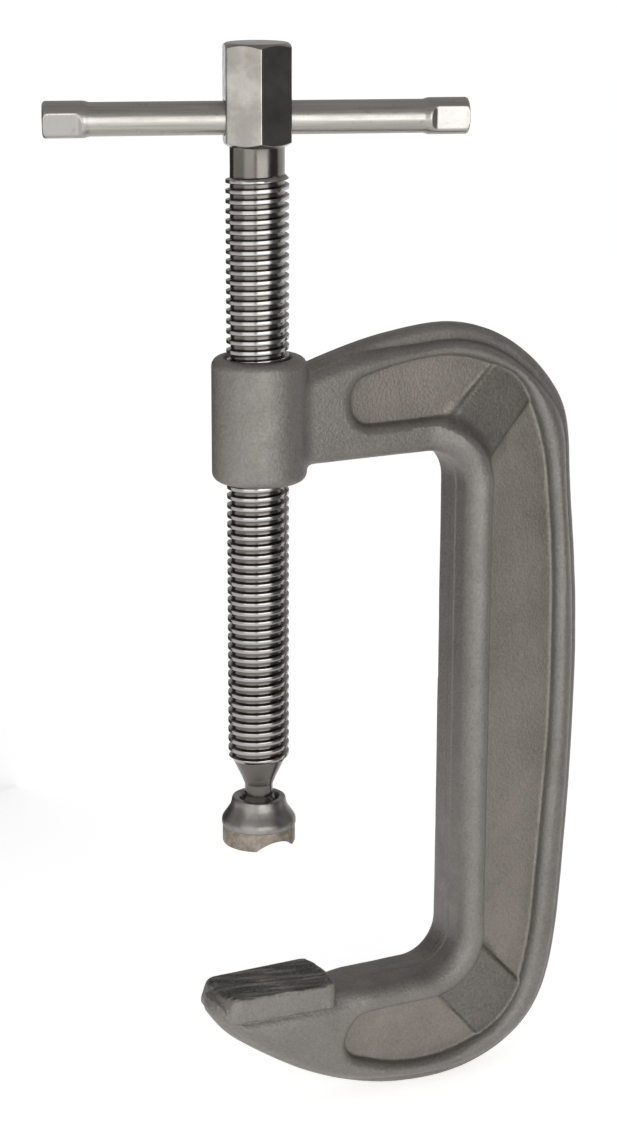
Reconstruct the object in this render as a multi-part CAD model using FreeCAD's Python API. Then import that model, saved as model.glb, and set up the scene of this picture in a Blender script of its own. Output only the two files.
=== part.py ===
"""Heavy-duty forged C-clamp with a sliding T-handle and a swivel pad.

Row frame: +Z runs up the screw axis towards the hex head, +X points from the screw to the spine
of the frame, and Y is the thickness of the frame. The origin is on the anvil face, on the screw
axis. Lengths are millimetres, angles are degrees.
"""
import FreeCAD, Part
import math
import os

V = FreeCAD.Vector
UP = V(0, 0, 1)
ORIGIN = V(0, 0, 0)

# ---- driving dimensions: frame ----
JAW_OPENING = 48.9  # anvil face to the bottom of the swivel pad, as the clamp stands
THROAT = 68.9  # screw axis to the inner face of the spine
ARM_UNDERSIDE = 171.2  # height of the upper arm's underside
SADDLE = -4.8  # height of the lower arm's upper face, beside the anvil pad
INNER_CORNER_R = 12.0
ARM_HALF = 8.5  # half thickness of the forging
WEB_HALF = 4.5  # half thickness left under the recessed panels
GUSSET_HALF = 6.4  # half thickness of the corners between the panels
RIM_DEPTH = 10.4  # depth of the outer flange, in the plane of the frame
RIM_ROUND = 3.6
BEAD_HALF = 12.3  # half width of the heavy inner flange
BEAD_DEPTH = 8.0  # its thickness in the plane of the frame
BEAD_ROUND = 3.6

# ---- driving dimensions: boss and anvil ----
BOSS_R = 14.5
BOSS_BOTTOM = 166.1
BOSS_TOP = 204.3
BOSS_SHIFT = 0.5  # the bore is this far off the boss's own centre
BOSS_ROUND = 2.6
ANVIL_LEFT = -14.0
ANVIL_RIGHT = 21.5
ANVIL_HALF = 12.2
ANVIL_DEPTH = 8.9
RIDGE_COUNT = 10
RIDGE_DEPTH = 0.7
RIDGE_TURN = 12.0  # the ridges run this much across the anvil's long side

# ---- driving dimensions: screw ----
THREAD_OD = 19.05
THREAD_ROOT = 16.4
PITCH = 3.0
CREST_WIDTH = 0.24 * PITCH  # along the axis
ROOT_WIDTH = 0.62 * PITCH
CREST_TURN = -109.8  # where the crest crosses the plane Z = 0
THREAD_BOTTOM = 76.6
THREAD_TOP = 259.3
THREAD_LENGTHS = 4  # the ridge is swept in this many lengths, a slit apart
THREAD_SLIT = 0.03
THREAD_CLEARANCE = 0.18  # radial and axial gap between the screw and the tapped boss
NECK_R = 4.4
CONE_BOTTOM = 68.4
BALL_R = 6.2
BALL_CENTRE = 60.2

# ---- driving dimensions: hex head and handle ----
HEX_FLATS = 19.45
HEX_BOTTOM = 267.7
HEX_TOP = 297.5
HANDLE_Z = 275.7
HANDLE_TURN = -19.8  # the handle's direction from +X, square to two of the hex's flats
HANDLE_R = 5.0
HANDLE_LENGTH = 126.0
HANDLE_HOLE_R = 5.3
SWAGE_R = 5.45  # the ends are pressed out to this, so that the bar can't leave its hole
SWAGE_LENGTH = 11.8
SWAGE_TAPER = 2.2

# ---- driving dimensions: swivel pad ----
SOCKET_GAP = 0.15
LIP_R = 5.75
MOUTH_R = 6.5
PAD_TOP = 63.9
PAD_BOTTOM = JAW_OPENING
PAD_SHOULDER_R = 11.65
PAD_BASE_R = 11.45
GROOVE_R = 8.9
GROOVE_DEPTH = 3.0
GROOVE_TURN = -84.8  # the groove's direction from +X

# The outer line of the frame in its own plane (X, Z), from inside the boss round to the nose.
OUTER_LINE = [
    (2.0, 195.2), (16.9, 200.6), (33.1, 205.7), (50.4, 208.8), (66.0, 209.6), (78.0, 207.2),
    (90.9, 200.2), (101.5, 190.2), (107.8, 180.0), (110.9, 160.0), (113.6, 130.0), (115.1, 98.0),
    (114.4, 58.3), (111.9, 15.8), (109.5, -6.7), (101.3, -29.7), (86.5, -41.2), (69.9, -45.7),
    (53.3, -45.6), (35.0, -41.8), (17.0, -34.2), (-4.4, -20.6), (-13.5, -12.9), (-18.2, -6.5),
]


def point(x, z):
    """A point in the frame's own plane."""
    return V(x, 0, z)


def rounded_outline(corners):
    """Closed wire in the frame's plane through (x, z, radius) corners, each rounded by its radius."""
    count = len(corners)
    edges = []
    ends = []
    for i, (x, z, radius) in enumerate(corners):
        here = point(x, z)
        back = point(*corners[i - 1][:2]) - here
        ahead = point(*corners[(i + 1) % count][:2]) - here
        back.normalize()
        ahead.normalize()
        half = back.getAngle(ahead) / 2
        reach = radius / math.tan(half)
        middle = back + ahead
        middle.normalize()
        near = here + middle * (radius / math.sin(half) - radius)
        ends.append((here + back * reach, near, here + ahead * reach))
    for i, (start, near, end) in enumerate(ends):
        edges.append(Part.Arc(start, near, end).toShape())
        following = ends[(i + 1) % count][0]
        if end.distanceToPoint(following) > 1e-4:
            edges.append(Part.makeLine(end, following))
    return Part.Wire(edges)


def slab(wire, low, high):
    """Solid between Y = low and Y = high with the outline of a wire drawn at Y = 0."""
    face = Part.Face(wire)
    face.translate(V(0, low, 0))
    return face.extrude(V(0, high - low, 0))


def turned(profile):
    """Solid of revolution about +Z from (radius, height) points."""
    wire = Part.makePolygon([V(r, 0, z) for r, z in profile + profile[:1]])
    return Part.Face(wire).revolve(ORIGIN, UP, 360)


# ---- thread ----
def thread_ridge(extra, room):
    """The right-hand thread's ridge, grown by extra on every side and cut to length by a solid."""
    box = room.BoundBox
    start = box.ZMin - 2 * PITCH
    outer_r = THREAD_OD / 2 + extra
    crest_half = CREST_WIDTH / 2 + extra
    slope = (ROOT_WIDTH - CREST_WIDTH) / (THREAD_OD - THREAD_ROOT)
    sunk_r = THREAD_ROOT / 2 - 0.3
    base_half = crest_half + slope * (outer_r - sunk_r)
    corners = [(sunk_r, -base_half), (sunk_r, base_half), (outer_r, crest_half), (outer_r, -crest_half)]
    section = Part.makePolygon([V(r, 0, z) for r, z in corners + corners[:1]])
    helix = Part.Wire(Part.makeHelix(PITCH, box.ZLength + 4 * PITCH, outer_r).Edges)
    ridge = helix.makePipeShell([section], True, True)
    ridge.rotate(ORIGIN, UP, CREST_TURN + 360 * (start / PITCH))
    ridge.translate(UP * start)
    return ridge.common(room)


# ---- frame ----
def outer_curve():
    spline = Part.BSplineCurve()
    spline.interpolate([point(x, z) for x, z in OUTER_LINE])
    return spline


def plate(half):
    """The whole C as a flat plate, from the boss round to the nose."""
    inner_end = THROAT - INNER_CORNER_R
    middle = INNER_CORNER_R * (1 - math.sqrt(0.5))
    low = SADDLE + INNER_CORNER_R
    high = ARM_UNDERSIDE - INNER_CORNER_R
    start = point(*OUTER_LINE[0])
    end = point(*OUTER_LINE[-1])
    nose = point(-15.5, -1.0)
    heel = point(-12.0, SADDLE)
    root = point(OUTER_LINE[0][0], ARM_UNDERSIDE)
    lower_bend = Part.Arc(
        point(inner_end, SADDLE), point(THROAT - middle, SADDLE + middle), point(THROAT, low))
    upper_bend = Part.Arc(
        point(THROAT, high),
        point(THROAT - middle, ARM_UNDERSIDE - middle),
        point(inner_end, ARM_UNDERSIDE))
    path = [
        outer_curve().toShape(),
        Part.Arc(end, point(-18.4, -2.9), nose).toShape(),
        Part.makeLine(nose, heel),
        Part.makeLine(heel, point(inner_end, SADDLE)),
        lower_bend.toShape(),
        Part.makeLine(point(THROAT, low), point(THROAT, high)),
        upper_bend.toShape(),
        Part.makeLine(point(inner_end, ARM_UNDERSIDE), root),
        Part.makeLine(root, start),
    ]
    return slab(Part.Wire(path), -half, half)


def flange(path, half_width, depth, rounding):
    """A rounded bar swept along a planar path, lying on the inner side of it."""
    first = path.Edges[0]
    begin = first.valueAt(first.FirstParameter)
    along = first.tangentAt(first.FirstParameter)
    inward = V(along.z, 0, -along.x)
    frame = FreeCAD.Matrix(
        0, inward.x, along.x, begin.x,
        1, 0, 0, begin.y,
        0, inward.z, along.z, begin.z,
        0, 0, 0, 1,
    )
    flat = rounded_outline([
        (-half_width, 0, rounding), (half_width, 0, rounding),
        (half_width, depth, rounding), (-half_width, depth, rounding),
    ])
    flat.rotate(ORIGIN, V(1, 0, 0), -90)
    section = flat.transformGeometry(frame)
    sweep = Part.BRepOffsetAPI.MakePipeShell(path)
    sweep.setBiNormalMode(V(0, 1, 0))
    sweep.add(section)
    sweep.build()
    sweep.makeSolid()
    return sweep.shape()


def outer_flange():
    return flange(Part.Wire([outer_curve().toShape()]), ARM_HALF, RIM_DEPTH, RIM_ROUND)


def inner_flange():
    """The wide rounded flange along the spine and the lower arm."""
    turn = INNER_CORNER_R
    bend = turn * (1 - math.sqrt(0.5))
    bottom = SADDLE + turn
    corner = Part.Arc(
        point(THROAT - turn, SADDLE), point(THROAT - bend, SADDLE + bend), point(THROAT, bottom))
    path = Part.Wire([
        Part.makeLine(point(20.0, SADDLE), point(THROAT - turn, SADDLE)),
        corner.toShape(),
        Part.makeLine(point(THROAT, bottom), point(THROAT, ARM_UNDERSIDE - turn + 3)),
    ])
    return flange(path, BEAD_HALF, BEAD_DEPTH, BEAD_ROUND)


def solid_parts():
    """The thick stretches beside the boss and the anvil, the arm's lower edge and the two corners."""
    arm_root = [(2.0, ARM_UNDERSIDE, 0.5), (78.0, ARM_UNDERSIDE, 2.0), (64.0, 180.7, 2.0),
                (28.9, 180.7, 7.0), (28.9, 202.0, 2.0), (2.0, 193.0, 0.5)]
    lower_root = [(-14.0, SADDLE, 1.0), (30.0, SADDLE, 1.0), (30.0, -14.0, 1.0), (27.6, -34.0, 1.0),
                  (-2.0, -18.0, 4.0), (-13.0, -10.5, 3.0)]
    upper_corner = [(64.0, ARM_UNDERSIDE, 0.5), (64.0, 180.7, 1.0), (80.5, 197.5, 1.0), (94.5, 184.5, 1.0),
                    (79.0, 165.6, 1.0), (70.5, 162.0, 0.5)]
    lower_corner = [(72.0, 1.4, 0.5), (78.8, 1.4, 1.0), (95.5, -17.0, 1.0), (80.0, -33.0, 1.0),
                    (62.5, -14.5, 1.0), (60.0, SADDLE - 2, 0.5)]
    return [
        slab(rounded_outline(arm_root), -ARM_HALF, ARM_HALF).common(plate(ARM_HALF)),
        slab(rounded_outline(lower_root), -ARM_HALF, ARM_HALF),
        slab(rounded_outline(upper_corner), -GUSSET_HALF, GUSSET_HALF).common(plate(ARM_HALF)),
        slab(rounded_outline(lower_corner), -GUSSET_HALF, GUSSET_HALF).common(plate(ARM_HALF)),
    ]


def anvil():
    """The raised jaw block with coarse cut ridges on top."""
    plan = [(ANVIL_LEFT, -9.6), (ANVIL_LEFT + 3.0, -ANVIL_HALF), (ANVIL_RIGHT - 1.5, -ANVIL_HALF),
            (ANVIL_RIGHT, -ANVIL_HALF + 1.5), (ANVIL_RIGHT + 1.0, 0.0), (ANVIL_RIGHT, ANVIL_HALF - 1.5),
            (ANVIL_RIGHT - 1.5, ANVIL_HALF), (ANVIL_LEFT + 3.0, ANVIL_HALF), (ANVIL_LEFT, 9.6),
            (ANVIL_LEFT - 1.6, 4.0), (ANVIL_LEFT - 1.6, -4.0)]
    wire = Part.makePolygon([V(x, y, -ANVIL_DEPTH) for x, y in plan + plan[:1]])
    block = Part.Face(wire).extrude(UP * ANVIL_DEPTH)
    step = 2 * ANVIL_HALF / RIDGE_COUNT
    reach = 30.0
    grooves = []
    for i in range(RIDGE_COUNT + 4):
        y = (i - (RIDGE_COUNT + 3) / 2) * step
        vee = Part.makePolygon([
            V(-reach, y - 0.34 * step, 0.1), V(-reach, y + 0.34 * step, 0.1),
            V(-reach, y, -RIDGE_DEPTH), V(-reach, y - 0.34 * step, 0.1),
        ])
        groove = Part.Face(vee).extrude(V(2 * reach, 0, 0))
        groove.rotate(ORIGIN, UP, RIDGE_TURN)
        grooves.append(groove)
    return block.cut(Part.makeCompound(grooves))


def boss():
    """The threaded boss: softly rounded ends, and a tapped hole a little larger than the screw."""
    blank = Part.makeCylinder(BOSS_R, BOSS_TOP - BOSS_BOTTOM, V(BOSS_SHIFT, 0, BOSS_BOTTOM))
    blank = blank.makeFillet(BOSS_ROUND, [e for e in blank.Edges if e.Curve.TypeId == "Part::GeomCircle"])
    over = 2.0
    height = BOSS_TOP - BOSS_BOTTOM + 2 * over
    start = UP * (BOSS_BOTTOM - over)
    root_r = THREAD_ROOT / 2 + THREAD_CLEARANCE
    mouth_r = THREAD_OD / 2 + 0.7
    hole = Part.makeCylinder(root_r, height, start)
    for z, outward in ((BOSS_BOTTOM - 0.01, UP), (BOSS_TOP + 0.01, UP * -1)):
        hole = hole.fuse(Part.makeCone(mouth_r, root_r, mouth_r - root_r, V(0, 0, z), outward))
    tap = thread_ridge(THREAD_CLEARANCE, Part.makeCylinder(mouth_r + 1, height, start))
    return blank.cut(hole).cut(tap)


def make_frame():
    """One forging: web plate, two flanges, solid roots and corners, anvil and tapped boss."""
    body = plate(WEB_HALF).fuse([outer_flange(), inner_flange(), anvil()] + solid_parts())
    boss_core = Part.makeCylinder(BOSS_R - 2, BOSS_TOP - ARM_UNDERSIDE + 20, UP * (ARM_UNDERSIDE - 10))
    return body.cut(boss_core).fuse(boss())


# ---- screw ----
def hexagon():
    """Hex head with both ends turned to 30 degree chamfers."""
    corner_r = HEX_FLATS / math.sqrt(3)
    turn = HANDLE_TURN - 90
    bearings = [math.radians(turn + 60 * i) for i in range(7)]
    ring = [V(corner_r * math.cos(a), corner_r * math.sin(a), HEX_BOTTOM) for a in bearings]
    blank = Part.Face(Part.makePolygon(ring)).extrude(UP * (HEX_TOP - HEX_BOTTOM))
    face_r = 0.47 * HEX_FLATS
    fall = (corner_r - face_r) * math.tan(math.radians(30))
    envelope = turned([
        (0, HEX_BOTTOM), (face_r, HEX_BOTTOM), (corner_r, HEX_BOTTOM + fall),
        (corner_r, HEX_TOP - fall), (face_r, HEX_TOP), (0, HEX_TOP),
    ])
    return blank.common(envelope)


def handle_hole():
    along = V(math.cos(math.radians(HANDLE_TURN)), math.sin(math.radians(HANDLE_TURN)), 0)
    return Part.makeCylinder(HANDLE_HOLE_R, 2 * HEX_FLATS, UP * HANDLE_Z - along * HEX_FLATS, along)


def thread_room(bottom, top):
    """The space the thread's ridge may fill, tapered at both ends, between two heights."""
    outer_r = THREAD_OD / 2 + 0.1
    sunk_r = THREAD_ROOT / 2 - 0.5
    taper = outer_r - sunk_r
    whole = turned([
        (0, THREAD_BOTTOM), (sunk_r, THREAD_BOTTOM), (outer_r, THREAD_BOTTOM + taper),
        (outer_r, THREAD_TOP - taper), (sunk_r, THREAD_TOP), (0, THREAD_TOP),
    ])
    return whole.common(Part.makeCylinder(2 * outer_r, top - bottom, UP * bottom))


def make_screw():
    """Hex head, shank, thread, cone, neck and ball, turned from one bar."""
    root_r = THREAD_ROOT / 2
    ball_top = BALL_CENTRE + math.sqrt(BALL_R ** 2 - NECK_R ** 2)
    core = turned([
        (0, BALL_CENTRE), (NECK_R, ball_top - 0.3), (NECK_R, CONE_BOTTOM), (root_r, THREAD_BOTTOM),
        (root_r, HEX_BOTTOM + 1), (0, HEX_BOTTOM + 1),
    ])
    body = core.fuse([Part.makeSphere(BALL_R, UP * BALL_CENTRE), hexagon()]).cut(handle_hole())
    step = (THREAD_TOP - THREAD_BOTTOM) / THREAD_LENGTHS
    for i in range(THREAD_LENGTHS):
        bottom = THREAD_BOTTOM + i * step
        room = thread_room(bottom + THREAD_SLIT / 2, bottom + step - THREAD_SLIT / 2)
        body = body.fuse(thread_ridge(0.0, room))
    return body


# ---- handle ----
def make_handle():
    """Plain round bar whose ends are pressed flat and so bulge wider than the hole."""
    half = HANDLE_LENGTH / 2
    dome = 0.8
    neck = half - SWAGE_LENGTH
    profile = [
        (0, -half), (SWAGE_R - 1.6, -half), (SWAGE_R, -half + dome), (SWAGE_R, -neck),
        (HANDLE_R, -neck + SWAGE_TAPER), (HANDLE_R, neck - SWAGE_TAPER), (SWAGE_R, neck),
        (SWAGE_R, half - dome), (SWAGE_R - 1.6, half), (0, half),
    ]
    bar = turned(profile)
    bar.rotate(ORIGIN, V(0, 1, 0), 90)
    for side, tip in ((-1, 18.0), (1, 4.0)):
        for face in (-1, 1):
            block = Part.makeBox(SWAGE_LENGTH + 1, 4.0, 12.0, V(0, 0, -6.0))
            block.translate(V(neck + 0.4, 4.15, 0))
            if side < 0:
                block = block.mirror(ORIGIN, V(1, 0, 0))
            if face < 0:
                block = block.mirror(ORIGIN, V(0, 1, 0))
            block.rotate(ORIGIN, V(1, 0, 0), tip)
            bar = bar.cut(block)
    bar.rotate(ORIGIN, UP, HANDLE_TURN)
    bar.translate(UP * HANDLE_Z)
    return bar


# ---- swivel pad ----
def make_swivel_pad():
    """Bell-shaped pad, closed over the ball of the screw, with an arched groove underneath."""
    waist = [(8.45, PAD_TOP - 0.5), (8.6, PAD_TOP - 1.6), (9.16, PAD_TOP - 3.3), (10.3, PAD_TOP - 5.0),
             (11.2, PAD_TOP - 6.3)]
    outside = [(0, PAD_BOTTOM), (PAD_BASE_R - 0.5, PAD_BOTTOM), (PAD_BASE_R, PAD_BOTTOM + 0.5),
               (PAD_BASE_R, 54.5), (PAD_SHOULDER_R, 55.0), (PAD_SHOULDER_R, 56.8)]
    top = [(7.95, PAD_TOP), (0, PAD_TOP)]
    body = turned(outside + list(reversed(waist)) + top)
    cavity_r = BALL_R + SOCKET_GAP
    lip_z = BALL_CENTRE + math.sqrt(cavity_r ** 2 - LIP_R ** 2)
    mouth = turned([
        (0, BALL_CENTRE), (LIP_R, BALL_CENTRE), (LIP_R, lip_z + 0.2),
        (MOUTH_R, PAD_TOP), (MOUTH_R, PAD_TOP + 1), (0, PAD_TOP + 1),
    ])
    along = V(math.cos(math.radians(GROOVE_TURN)), math.sin(math.radians(GROOVE_TURN)), 0)
    centre = UP * (PAD_BOTTOM + GROOVE_DEPTH - GROOVE_R)
    groove = Part.makeCylinder(GROOVE_R, 40, centre - along * 20, along)
    body = body.cut(Part.makeSphere(cavity_r, UP * BALL_CENTRE))
    return body.cut([mouth, groove])


def main():
    os.makedirs("parts", exist_ok=True)
    nodes = {
        "frame": make_frame,
        "screw": make_screw,
        "handle_bar": make_handle,
        "swivel_pad": make_swivel_pad,
    }
    for name, make in nodes.items():
        shape = make()
        if shape.ShapeType != "Solid" and len(shape.Solids) == 1:
            shape = shape.Solids[0]
        box = shape.BoundBox
        print(name, shape.ShapeType, shape.isValid(), len(shape.Solids), round(shape.Volume),
              [round(v, 2) for v in (box.XMin, box.YMin, box.ZMin, box.XMax, box.YMax, box.ZMax)])
        shape.exportStep("parts/" + name + ".step")


main()
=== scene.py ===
"""Looks of the C-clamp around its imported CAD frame. Lengths are millimetres until a mesh is made."""

import math

import bmesh
import bpy
import numpy as np
from mathutils import Matrix, Vector


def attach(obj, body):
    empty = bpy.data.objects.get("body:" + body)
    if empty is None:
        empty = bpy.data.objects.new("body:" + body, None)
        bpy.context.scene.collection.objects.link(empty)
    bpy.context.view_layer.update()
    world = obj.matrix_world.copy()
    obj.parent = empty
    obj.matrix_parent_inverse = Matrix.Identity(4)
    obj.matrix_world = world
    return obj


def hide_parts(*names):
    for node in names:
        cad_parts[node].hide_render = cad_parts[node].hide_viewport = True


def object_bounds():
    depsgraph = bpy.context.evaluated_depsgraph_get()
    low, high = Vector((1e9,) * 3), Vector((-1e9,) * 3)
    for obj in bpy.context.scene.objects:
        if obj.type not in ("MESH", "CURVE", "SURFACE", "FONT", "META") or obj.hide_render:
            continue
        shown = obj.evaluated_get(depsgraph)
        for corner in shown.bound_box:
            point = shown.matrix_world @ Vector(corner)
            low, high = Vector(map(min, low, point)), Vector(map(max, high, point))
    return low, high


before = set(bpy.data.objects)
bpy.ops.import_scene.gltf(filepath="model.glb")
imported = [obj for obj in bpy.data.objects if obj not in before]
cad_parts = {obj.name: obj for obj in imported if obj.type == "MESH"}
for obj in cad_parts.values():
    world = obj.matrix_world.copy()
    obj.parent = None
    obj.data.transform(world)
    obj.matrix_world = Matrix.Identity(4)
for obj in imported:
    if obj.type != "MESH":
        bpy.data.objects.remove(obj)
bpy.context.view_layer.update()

MM = 0.001

# ---- sizes: the CAD's own, or the picture's where the two differ a little ----
THROAT, ARM_UNDERSIDE, SADDLE, INNER_CORNER_R = 68.9, 170.1, -4.8, 12.0
ARM_HALF, WEB_HALF, SHOULDER_HALF, FLANGE_HALF = 8.5, 4.5, 3.9, 12.3
BOSS_R, BOSS_BOTTOM, BOSS_TOP, BOSS_SHIFT = 14.5, 166.1, 204.3, 0.5
BORE_R, BORE_CHAMFER, JAW_MIDDLE = 9.72, 0.9, 90.0
ANVIL_DEPTH, BLOCK_END = 8.9, 23.4
RIDGE_STEP, RIDGE_DEPTH, RIDGE_TURN = 2.44, 0.7, math.radians(-12.0)
PITCH, THREAD_R, ROOT_R, CREST_TURN = 3.0, 9.525, 8.2, -109.8
THREAD_BOTTOM, THREAD_TOP = 76.6, 259.3
# Where the rings of one pitch lie, as shares of it from a crest: close together on the flanks.
PITCH_SHARES = [
    -0.175, -0.09, 0.0, 0.09, 0.175, 0.225, 0.275, 0.325, 0.41, 0.5, 0.59, 0.675, 0.725, 0.775,
]
SHANK_R, NECK_R, CONE_BOTTOM, BALL_R, BALL_CENTRE = 8.2, 4.4, 68.4, 6.2, 60.2
HEX_FLATS, HEX_BOTTOM, HEX_TOP = 19.45, 267.7, 297.5
HANDLE_Z, HANDLE_TURN, HANDLE_R, HANDLE_HOLE_R, HANDLE_LENGTH = 275.7, -19.8, 5.0, 5.3, 126.0
HEX_ROUND, HEX_ROUND_HALF_TURN, HEX_FACE_R = 0.8, 2.08, 0.47 * HEX_FLATS
SWAGE_R, SWAGE_LENGTH, SWAGE_TAPER, TIP_ROUND = 5.45, 11.8, 2.2, 1.0
# The flats' half thickness, and how sharp their edges are.
FLAT_HALF, FLAT_EDGE = 4.15, 9
PAD_TOP, PAD_BOTTOM, PAD_SOCKET_R = 63.9, 48.9, 6.35
GROOVE_R, GROOVE_DEPTH, GROOVE_TURN = 8.9, 3.0, -84.8

# The frame's outer line in its own plane (X, Z), from inside the boss round to the nose.
OUTER_LINE = [
    (2.0, 195.2), (16.9, 200.6), (33.1, 205.7), (50.4, 208.8), (66.0, 209.6), (78.0, 207.2),
    (90.9, 200.2), (101.5, 190.2), (107.8, 180.0), (110.9, 160.0), (113.6, 130.0), (115.1, 98.0),
    (114.4, 58.3), (111.9, 15.8), (109.5, -6.7), (101.3, -29.7), (86.5, -41.2), (69.9, -45.7),
    (53.3, -45.6), (35.0, -41.8), (17.0, -34.2), (-4.4, -20.6), (-13.5, -12.9), (-18.2, -6.5),
]
# The nose of the lower arm and the end of the block, and then a way back that stays in the open jaw.
NOSE_LINE = [
    (-18.5, -5.0), (-18.2, -3.6), (-17.6, -2.2), (-16.8, -1.0), (-16.3, 0.2), (-16.3, 100.0), (2.0, 180.0),
]
# The jaw and the throat, as (X, Z, corner radius). The block stands on the saddle from BLOCK_START on.
BLOCK_START, OPEN_SIDE, CRISP = -11.0, -60.0, 0.1
THROAT_LINE = [
    (OPEN_SIDE, ARM_UNDERSIDE, CRISP), (THROAT, ARM_UNDERSIDE, INNER_CORNER_R),
    (THROAT, SADDLE, INNER_CORNER_R), (BLOCK_START, SADDLE, CRISP),
    (BLOCK_START, 0.0, CRISP), (OPEN_SIDE, 0.0, CRISP),
]
# The recess on each side, as (X, Z, corner radius).
RECESS = [
    (28.6, 195.0, 7), (48.0, 199.9, 100), (66.0, 200.8, 45), (79.0, 196.4, 60), (89.0, 192.0, 18),
    (99.2, 172.4, 80), (103.7, 130.0, 350), (104.3, 76.0, 500), (98.4, -2.4, 120), (91.8, -26.6, 24),
    (68.3, -38.0, 50), (46.0, -36.2, 50), (26.3, -28.6, 8), (30.0, -13.0, 10), (78.6, -13.0, 20),
    (78.6, 180.8, 20), (28.8, 180.9, 7),
]
# Each thick corner: the throat's corner that it springs from, the way it runs out from there, and its
# two sides as lines from one (X, Z) point to another, with the thick part on their right.
CORNERS = [
    {"origin": (THROAT, ARM_UNDERSIDE), "along": (0.66, 0.75),
     "sides": [((63.0, 180.7), (79.0, 196.2)), ((93.2, 182.6), (78.6, 165.6))]},
    {"origin": (THROAT, SADDLE), "along": (0.68, -0.73),
     "sides": [((78.6, 1.4), (94.0, -15.4)), ((77.3, -31.6), (61.2, -13.4))]},
]


# The thick corners: height over the web at the outer end, what is added up to the inner end, and how
# far from the throat's corner the outer end lies and the slope runs.
WEDGE_LOW, WEDGE_RISE, WEDGE_OUTER, WEDGE_RUN = 0.8, 1.6, 28.0, 26.0
WEDGE_SIDE_SLOPE, WEDGE_ROUND, WEDGE_RIM_GAP, WEDGE_THROAT_GAP = 0.5, 0.8, 1.0, 6.0
# The shoulder, the rim and its bead, and the flange, with the radii of their edges.
SHOULDER_SET_BACK, SHOULDER_ROUND, BEAD_ROUND, RECESS_ROUND = 2.0, 2.8, 3.9, 3.6
FLANGE_DEPTH, FLANGE_ROUND, FLANGE_BACK_ROUND, THROAT_ROUND = 8.6, 5.5, 3.0, 5.3
DIE_LINE, FLANGE_START, BOSS_ROUND, BOSS_FILLET = 0.22, 14.0, 2.8, 3.0
# A face that leans by about a half is this much too far away, until it is divided by it.
SLOPE_STRETCH = 1.12
# Unevenness of the forging, as (height, size, seed).
SWELLS = [(0.042, 9.0, 3), (0.018, 3.5, 5)]
# The block: its two sides in Y, the front one drawn in towards the nose, and the nose's slanted end.
BLOCK_BACK, BLOCK_FRONT, BLOCK_DRAW_IN, BLOCK_DRAW_FROM = 11.8, -12.4, 0.077, 20.3
NOSE_X, NOSE_LEAN, NOSE_FRONT_SLANT, NOSE_BACK_SLANT = -16.0, 0.35, 0.44, 0.18


# ---- distance fields ----
def rounded_polygon(corners, step=1.0):
    """Closed polyline through (x, z, radius) corners, each corner an arc."""
    line = []
    count = len(corners)
    for i, (x, z, radius) in enumerate(corners):
        here = np.array([x, z], float)
        back = np.array(corners[i - 1][:2], float) - here
        ahead = np.array(corners[(i + 1) % count][:2], float) - here
        back /= np.linalg.norm(back)
        ahead /= np.linalg.norm(ahead)
        half = math.acos(np.clip(back @ ahead, -1, 1)) / 2
        reach = radius / math.tan(half)
        middle = (back + ahead) / np.linalg.norm(back + ahead)
        centre = here + middle * radius / math.sin(half)
        start = here + back * reach - centre
        turn = math.pi - 2 * half
        side = np.sign(back[0] * ahead[1] - back[1] * ahead[0])
        steps = max(2, int(math.ceil(radius * turn / step)) + 1)
        for t in np.linspace(0, -side * turn, steps):
            c, s = math.cos(t), math.sin(t)
            line.append(centre + (c * start[0] - s * start[1], s * start[0] + c * start[1]))
    return np.array(line)


def spline(points, step=1.5):
    """Points along the natural cubic spline through points, spaced by chord length."""
    p = np.array(points, float)
    t = np.concatenate([[0], np.cumsum(np.linalg.norm(np.diff(p, axis=0), axis=1))])
    h = np.diff(t)
    n = len(p)
    a = np.eye(n)
    b = np.zeros((n, 2))
    for i in range(1, n - 1):
        a[i, i - 1:i + 2] = h[i - 1], 2 * (h[i - 1] + h[i]), h[i]
        b[i] = 6 * ((p[i + 1] - p[i]) / h[i] - (p[i] - p[i - 1]) / h[i - 1])
    m = np.linalg.solve(a, b)
    u = np.linspace(0, t[-1], int(t[-1] / step))
    i = np.clip(np.searchsorted(t, u) - 1, 0, n - 2)
    left = (u - t[i])[:, None]
    right = (t[i + 1] - u)[:, None]
    hi = h[i][:, None]
    return (m[i] * right ** 3 + m[i + 1] * left ** 3) / (6 * hi) + (
        (p[i] / hi - m[i] * hi / 6) * right + (p[i + 1] / hi - m[i + 1] * hi / 6) * left)


def polygon_distance(x, z, line):
    """Signed distance from (x, z) to a closed polyline, negative inside it."""
    shape = np.broadcast(x, z).shape
    best = np.full(shape, 1e9)
    inside = np.zeros(shape, bool)
    for (ax, az), (bx, bz) in zip(line, np.roll(line, -1, axis=0)):
        ex, ez = bx - ax, bz - az
        length = ex * ex + ez * ez
        if length < 1e-12:
            continue
        wx, wz = x - ax, z - az
        t = np.clip((wx * ex + wz * ez) / length, 0, 1)
        best = np.minimum(best, (wx - t * ex) ** 2 + (wz - t * ez) ** 2)
        if az != bz:
            inside ^= ((az > z) != (bz > z)) & (x < ax + ex * (z - az) / ez)
    return np.where(inside, -1.0, 1.0) * np.sqrt(best)


def meet(a, b, r):
    """Intersection of two solids, with the edge where they meet rounded by r."""
    return np.minimum(np.maximum(a, b), -r) + np.hypot(np.maximum(a + r, 0), np.maximum(b + r, 0))


def join(a, b, k):
    """Union of two solids, with a fillet about k wide."""
    h = np.maximum(k - np.abs(a - b), 0) / k
    return np.minimum(a, b) - h * h * h * k / 6


def blend(value, start, end):
    """0 up to start, 1 past end, and smooth in between. End may be the lower of the two."""
    t = np.clip((value - start) / (end - start), 0, 1)
    return t * t * (3 - 2 * t)


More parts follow.
